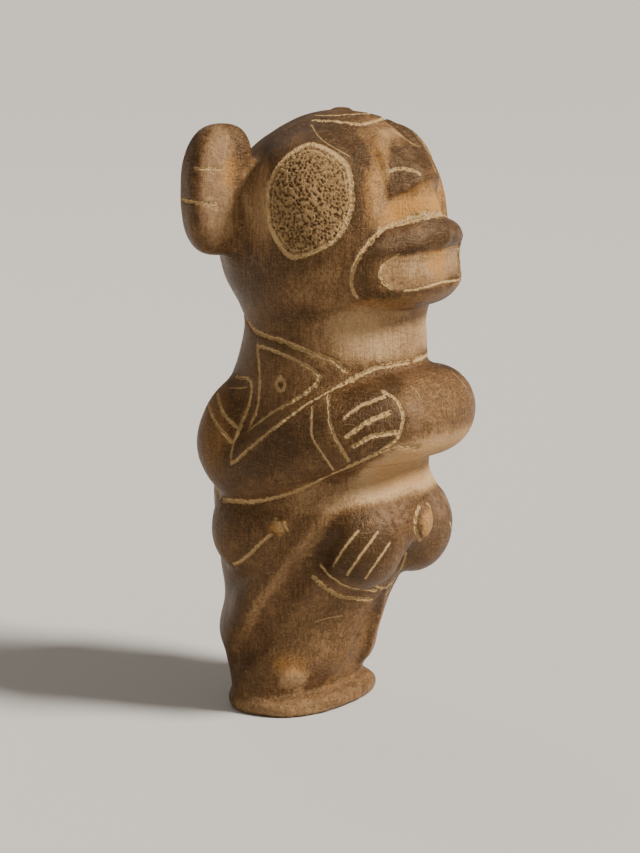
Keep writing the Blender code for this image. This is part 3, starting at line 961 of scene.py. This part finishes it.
def carve(data):
    """Cuts the lines, pits and pecked eyes into the skin, and returns what its colours need."""
    tree = tree_of(data)
    cuts = cut_paths(tree)
    refine_carving(data, cuts)
    points, _ = arrays_of(data)
    normals = normals_of(data)
    pixels = pixels_of(points)
    seen = seen_share(points, normals)

    cut_gap, groove = grooves(points, cuts)
    eye, pecks = pecking(points, pixels, seen)
    sunk = groove + eye * (PECKED_DEPTH + PIT_DEPTH * pecks) + layered(points, WAVES) * (1 - eye)
    sunk += sinkings(points, pixels, seen, tree)
    put_points(data, points - normals * sunk[:, None])
    # How enclosed each point is, for the painted shade in the hollows.
    outside = zemi(points + normals * HOLLOW_REACH)
    return {
        "cut_gap": cut_gap,
        "eye": eye,
        "pecks": pecks,
        **stains(points, pixels, seen),
        "hollow": 1 - np.clip(outside / HOLLOW_REACH, 0, 1),
    }


def note(data, name, values):
    layer = data.attributes.new(name, "FLOAT", "POINT")
    layer.data.foreach_set("value", np.asarray(values, dtype=np.float32))


def stone_mesh(node):
    data = start_skin(node)
    settle(data, rounds=4, evening=0.4)
    settle(data, rounds=2, evening=0.0)
    for name, values in carve(data).items():
        note(data, name, values)
    final, _ = arrays_of(data)
    final[:, 1] += HEAD_AXIS
    final[:, 2] = np.maximum(final[:, 2], 0)
    put_points(data, final * SHARE)
    data.polygons.foreach_set("use_smooth", np.ones(len(data.polygons), bool))
    return data


class Shading:
    """Adds nodes to a material. Each is fed by numbers, colours or other nodes' outputs."""

    def __init__(self, name):
        self.material = bpy.data.materials.new(name)
        self.material.use_nodes = True
        self.tree = self.material.node_tree
        self.surface = self.tree.nodes["Principled BSDF"]

    def feed(self, socket, value):
        if isinstance(value, bpy.types.NodeSocket):
            self.tree.links.new(value, socket)
        else:
            socket.default_value = value

    def node(self, kind, inputs, output=0, **settings):
        made = self.tree.nodes.new(kind)
        for name, value in settings.items():
            setattr(made, name, value)
        for name, value in inputs.items():
            self.feed(made.inputs[name], value)
        return made.outputs[output]

    def noted(self, name):
        return self.node("ShaderNodeAttribute", {}, "Fac", attribute_name=name)

    def stretched(self, space, scale, turn=0.0):
        """A space scaled, and turned about Y by degrees."""
        rotation = (0.0, math.radians(turn), 0.0)
        return self.node("ShaderNodeMapping", {"Vector": space, "Scale": scale, "Rotation": rotation})

    def noise(self, space, scale, detail, roughness, distortion):
        inputs = {"Vector": space, "Scale": scale, "Detail": detail, "Roughness": roughness}
        return self.node("ShaderNodeTexNoise", {**inputs, "Distortion": distortion}, "Fac")

    def cells(self, space, scale):
        inputs = {"Vector": space, "Scale": scale}
        return self.node("ShaderNodeTexVoronoi", inputs, "Distance")

    def math(self, operation, one, other=0.0):
        return self.node("ShaderNodeMath", {0: one, 1: other}, operation=operation)

    def plus(self, one, other):
        return self.math("ADD", one, other)

    def minus(self, one, other):
        return self.math("SUBTRACT", one, other)

    def times(self, one, other):
        return self.math("MULTIPLY", one, other)

    def most(self, one, other):
        return self.math("MAXIMUM", one, other)

    def swing(self, texture, amount):
        """A texture as a swing about 0."""
        return self.times(self.minus(texture, 0.5), amount)

    def rise(self, value, low, high, start=0.0, end=1.0):
        inputs = {"Value": value, "From Min": low, "From Max": high, "To Min": start, "To Max": end}
        return self.node("ShaderNodeMapRange", inputs, interpolation_type="SMOOTHSTEP")

    def blend(self, share, one, other):
        return self.node("ShaderNodeMix", {0: share, 6: one, 7: other}, 2, data_type="RGBA")


def make_textures(make, space):
    spaces = {"even": space}
    for name, (scale, turn) in SPACES.items():
        spaces[name] = make.stretched(space, scale, turn)
    return {name: make.noise(spaces[kind], *settings) for name, (kind, *settings) in TEXTURES.items()}


def wear_and_painted_light_of(make, textures):
    """How far the patina is worn: about 0 where it is whole, and 1 or more where it is pale.
    Painted light and shade from the tones, and painted shade in the hollows, count in too.
    """
    worn = make.plus(make.times(make.noted("tone_and_painted_light"), TONE_AND_LIGHT_WEIGHT), WORN_START)
    for name, weight in WEAR.items():
        worn = make.plus(worn, make.swing(textures[name], weight))
    # Painted shade: the hollows are made darker.
    return make.minus(worn, make.rise(make.noted("hollow"), *HOLLOW_SPAN, 0.0, HOLLOW_SHADE))


def scratch_of(make, textures, name):
    texture, level, gap, keeper, low, high = SCRATCHES[name]
    away = make.math("ABSOLUTE", make.minus(textures[texture], level))
    return make.times(make.rise(away, 0.0, gap, 1.0, 0.0), make.rise(textures[keeper], low, high))


def specks_of(make, textures, space, name):
    scale, low, high, keeper, start, end = SPECKS[name]
    cells = make.rise(make.cells(space, scale), low, high, 1.0, 0.0)
    return make.times(cells, make.rise(textures[keeper], start, end))


def patina_colour(make, textures, worn):
    """The patina from thick to worn through, with the painted light and shade that the wear carries,
    ochre stains, and rosy grey that is partly worn stone and partly painted highlight.
    """
    colour = DEEP_BROWN
    for shade, low, high in PATINA:
        colour = make.blend(make.rise(worn, low, high), colour, shade)
    # Rosy grey: partly painted highlight, partly worn stone.
    rose_wear_and_highlight = make.times(make.noted("rose_wear_and_highlight"), make.rise(textures["clouds"], *ROSE_SPAN))
    colour = make.blend(make.times(rose_wear_and_highlight, ROSE_SHARE), colour, ROSE_GREY_WEAR_AND_HIGHLIGHT)
    ochre = make.plus(make.noted("ochre"), make.rise(textures["clouds"], *OCHRE_SPAN))
    ochre = make.times(ochre, make.rise(textures["fine"], *OCHRE_SPECKLE))
    return make.blend(make.math("MINIMUM", ochre, 1.0), colour, OCHRE)


def eye_colour(make, textures):
    """The pecked eyes: darker in their pits, tan on the grains between them."""
    peck = make.plus(make.noted("pecks"), make.swing(textures["grit"], PECK_GRIT))
    peck = make.plus(peck, make.swing(textures["fine"], PECK_FINE))
    colour = make.blend(make.rise(peck, *PIT_DARK_SPAN), EYE_TAN, EYE_PIT_DARK)
    return make.blend(make.rise(textures["clouds"], *EYE_BROWN_SPAN), colour, BROWN)


def bump_of(make, textures, pores, scratch, rough_places):
    """The grain's fine relief, which is deeper in the cuts and eyes."""
    height = make.times(textures["fine"], FINE_BUMP)
    for name, weight in BUMPS.items():
        height = make.plus(height, make.times(textures[name], weight))
    height = make.minus(height, make.times(pores, PORE_DENT))
    height = make.minus(height, make.times(scratch, SCRATCH_DENT))
    height = make.plus(height, make.times(rough_places, make.times(textures["grit"], ROUGH_BUMP)))
    inputs = {"Height": height, "Strength": BUMP_STRENGTH, "Distance": BUMP_DISTANCE}
    return make.node("ShaderNodeBump", inputs)


def make_stone():
    """Brown limestone under a worn, hand-polished patina, pale where it is cut through."""
    make = Shading("Patinated limestone")
    millimetres = make.stretched(make.node("ShaderNodeTexCoord", {}, "Object"), (1000, 1000, 1000))
    textures = make_textures(make, millimetres)
    fine, grit = textures["fine"], textures["grit"]
    # The wear carries the painted light and shade too, so the patina's colour shows them.
    worn = wear_and_painted_light_of(make, textures)
    colour = patina_colour(make, textures, worn)

    # Fine scratches: pale ones along and around the figure, and dark ones on a slant.
    pale = make.most(scratch_of(make, textures, "along"), scratch_of(make, textures, "around"))
    colour = make.blend(make.times(pale, PALE_SCRATCH), colour, WORN_PALE)
    dark = scratch_of(make, textures, "dark")
    colour = make.blend(make.times(dark, DARK_SCRATCH), colour, DEEP_BROWN)

    # Dark pores and pale grains of the limestone.
    pores = specks_of(make, textures, millimetres, "pores")
    colour = make.blend(make.times(pores, SPECK_SHARE), colour, PORE_BROWN)
    grains = specks_of(make, textures, millimetres, "grains")
    colour = make.blend(make.times(grains, SPECK_SHARE), colour, WORN_PALE)

    eye = make.noted("eye")
    colour = make.blend(eye, colour, eye_colour(make, textures))

    # The cut lines, ragged and pale, with a little powder beside them.
    edge = make.plus(make.noted("cut_gap"), make.swing(fine, CUT_FINE))
    in_cut = make.rise(edge, *CUT_SPAN)
    beside = make.times(make.rise(edge, *POWDER_SPAN), make.rise(grit, *POWDER_GRIT))
    cut_colour = make.blend(make.rise(fine, *PALE_CUT_SPAN), CUT_GOLD, CUT_PALE)
    colour = make.blend(beside, colour, CUT_GOLD)
    colour = make.blend(in_cut, colour, cut_colour)

    rough_places = make.most(in_cut, eye)
    roughness = make.plus(make.rise(worn, *SHINE_SPAN, *ROUGHNESS), make.swing(fine, ROUGHNESS_SWING))
    looks = {
        "Base Color": colour,
        "Roughness": make.most(roughness, make.times(rough_places, CUT_ROUGHNESS)),
        "Normal": bump_of(make, textures, pores, dark, rough_places),
        "Specular IOR Level": SPECULAR_LEVEL,
        "Specular Tint": SPECULAR_TINT,
    }
    for name, value in looks.items():
        make.feed(make.surface.inputs[name], value)
    return make.material


def add_aimed(thing, out):
    """Adds a camera or lamp that looks back along the way out to it."""
    thing.rotation_mode = "QUATERNION"
    thing.rotation_quaternion = (-out).to_track_quat("-Z", "Y")
    bpy.context.scene.collection.objects.link(thing)


def make_camera():
    camera = bpy.data.cameras.new("Camera")
    camera.sensor_fit = "VERTICAL"
    camera.sensor_height = FILM_HEIGHT
    camera.lens = FOCAL_LENGTH * FILM_HEIGHT / FRAME_HEIGHT
    camera.clip_start = NEAR_CLIP
    camera.clip_end = FAR_CLIP
    made = bpy.data.objects.new("Camera", camera)
    made.location = (Vector(LENS) + Vector((0, HEAD_AXIS, 0))) * SHARE
    add_aimed(made, Vector(BACK))
    bpy.context.scene.camera = made


def make_lamp(name, azimuth, elevation, kind, power, size):
    lamp = bpy.data.lights.new(name, kind)
    if kind == "SUN":
        lamp.angle = math.radians(size)
    else:
        lamp.size = size
    lamp.energy = power
    lamp.color = LAMP_COLOUR
    made = bpy.data.objects.new(name, lamp)
    turn, rise = math.radians(azimuth), math.radians(elevation)
    out = Vector((math.sin(turn) * math.cos(rise), -math.cos(turn) * math.cos(rise), math.sin(rise)))
    made.location = Vector((0, 0, LAMP_AIM)) + out * LAMP_REACH
    add_aimed(made, out)


def make_floor():
    mesh = bmesh.new()
    bmesh.ops.create_grid(mesh, x_segments=1, y_segments=1, size=FLOOR_HALF)
    data = bpy.data.meshes.new("Floor")
    mesh.to_mesh(data)
    mesh.free()
    floor = bpy.data.objects.new("Floor", data)
    bpy.context.scene.collection.objects.link(floor)
    pale = bpy.data.materials.new("Pale floor")
    pale.use_nodes = True
    surface = pale.node_tree.nodes["Principled BSDF"]
    surface.inputs["Base Color"].default_value = FLOOR_COLOUR
    surface.inputs["Roughness"].default_value = FLOOR_ROUGHNESS
    data.materials.append(pale)


def make_world():
    world = bpy.data.worlds.new("Studio")
    world.use_nodes = True
    background = world.node_tree.nodes["Background"]
    background.inputs["Color"].default_value = WORLD_COLOUR
    background.inputs["Strength"].default_value = WORLD_STRENGTH
    bpy.context.scene.world = world


def main():
    make_camera()
    make_floor()
    make_world()
    for name, settings in LAMPS.items():
        make_lamp(name, *settings)
    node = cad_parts["zemi"]
    data = stone_mesh(node)
    data.name = "Carved stone"
    data.materials.append(make_stone())
    piece = bpy.data.objects.new("Carved_stone", data)
    bpy.context.scene.collection.objects.link(piece)
    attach(piece, "root")
    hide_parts("zemi")


main()
